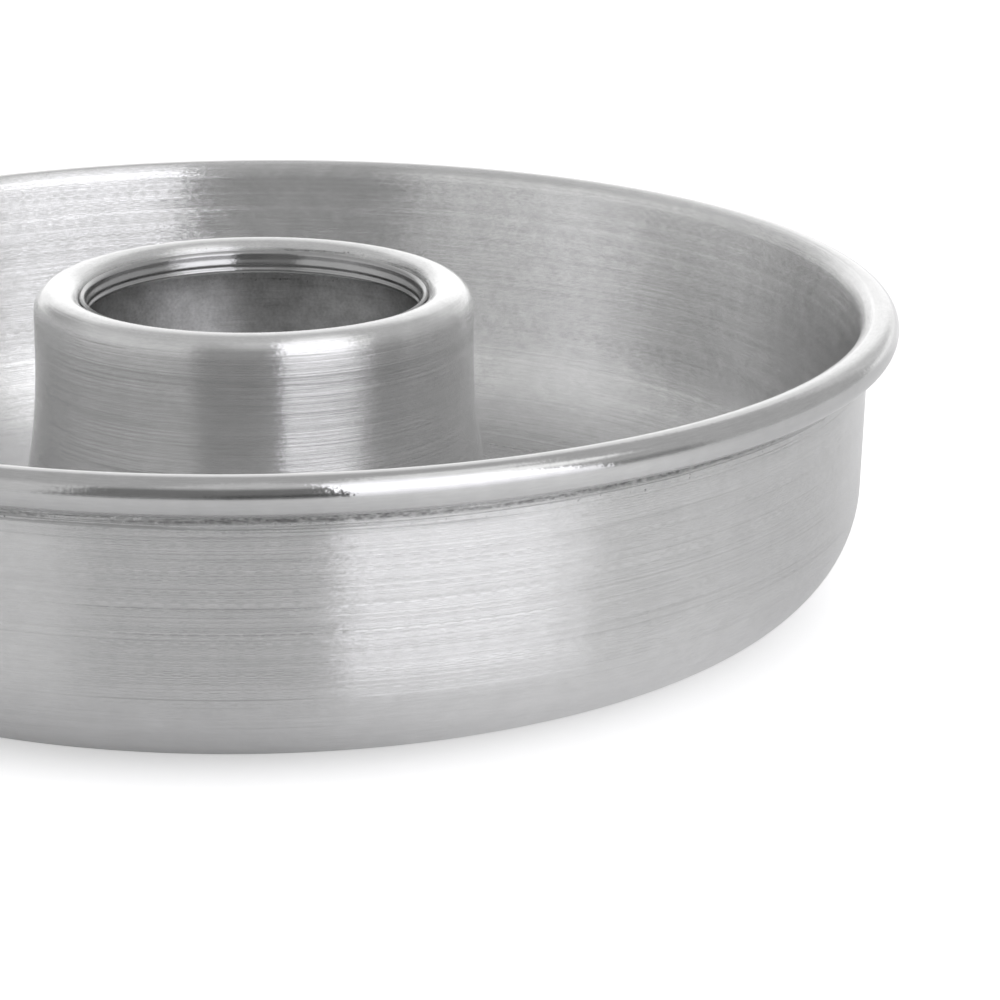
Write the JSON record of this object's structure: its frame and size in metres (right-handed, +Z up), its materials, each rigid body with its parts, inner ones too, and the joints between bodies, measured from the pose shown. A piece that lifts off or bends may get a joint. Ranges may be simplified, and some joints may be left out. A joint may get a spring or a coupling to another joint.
{
  "type": "tube pan",
  "caption": "Low round ring mould in spun sheet metal with a wired curled rim, a large rounded corner and an open flared centre tube with a collared mouth.",
  "frame": {"origin": "on the pan's axis, in the plane that its floor rests on", "axes": "+Z up along the axis of the pan and its tube; +X and +Y are any two square directions across the rim"},
  "size_m": [0.24, 0.24, 0.0568],
  "materials": {
    "pan": "spun and finely brushed round the axis, satin",
    "wire": "drawn wire, plain",
    "tube": "spun and finely brushed round the axis outside, dull mill finish in the bore",
    "collar": "rolled bright"
  },
  "bodies": {
    "root": {"pan_body": "pan", "rim_wire": "wire", "center_tube": "tube", "tube_collar": "collar"}
  },
  "joints": []
}
